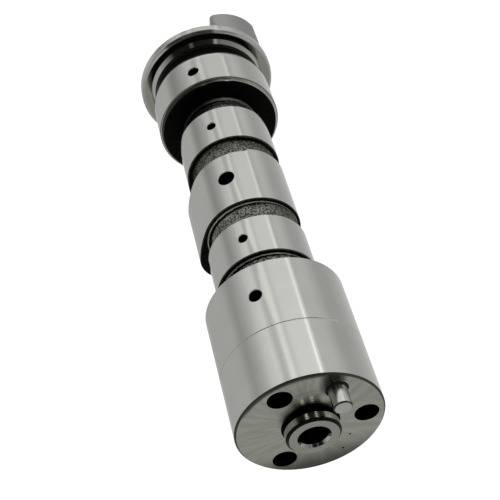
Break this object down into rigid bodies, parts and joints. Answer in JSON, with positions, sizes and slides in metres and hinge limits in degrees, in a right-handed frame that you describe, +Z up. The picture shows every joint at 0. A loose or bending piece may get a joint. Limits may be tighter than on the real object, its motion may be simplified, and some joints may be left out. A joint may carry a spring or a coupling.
{
  "type": "camshaft",
  "caption": "Engine camshaft with ground lobes and journals, a drilled drive face with spigot and dowel pin, a flange and an off-centre half-moon driving lug.",
  "frame": {"origin": "centre of the ground drive face, on the shaft axis", "axes": "+Y along the shaft axis from the drive face to the driving lug, +Z up as the shaft lies on a flat surface with its heavier side down, +X to the right seen from the drive face"},
  "size_m": [0.0458, 0.1768, 0.0458],
  "materials": {
    "cast_body": "ground journals, lobes and flange, turned end face, rough dark cast necks",
    "ground_pin": "fine ground"
  },
  "bodies": {
    "root": {"camshaft": "cast_body", "dowel_pin": "ground_pin"}
  },
  "joints": []
}
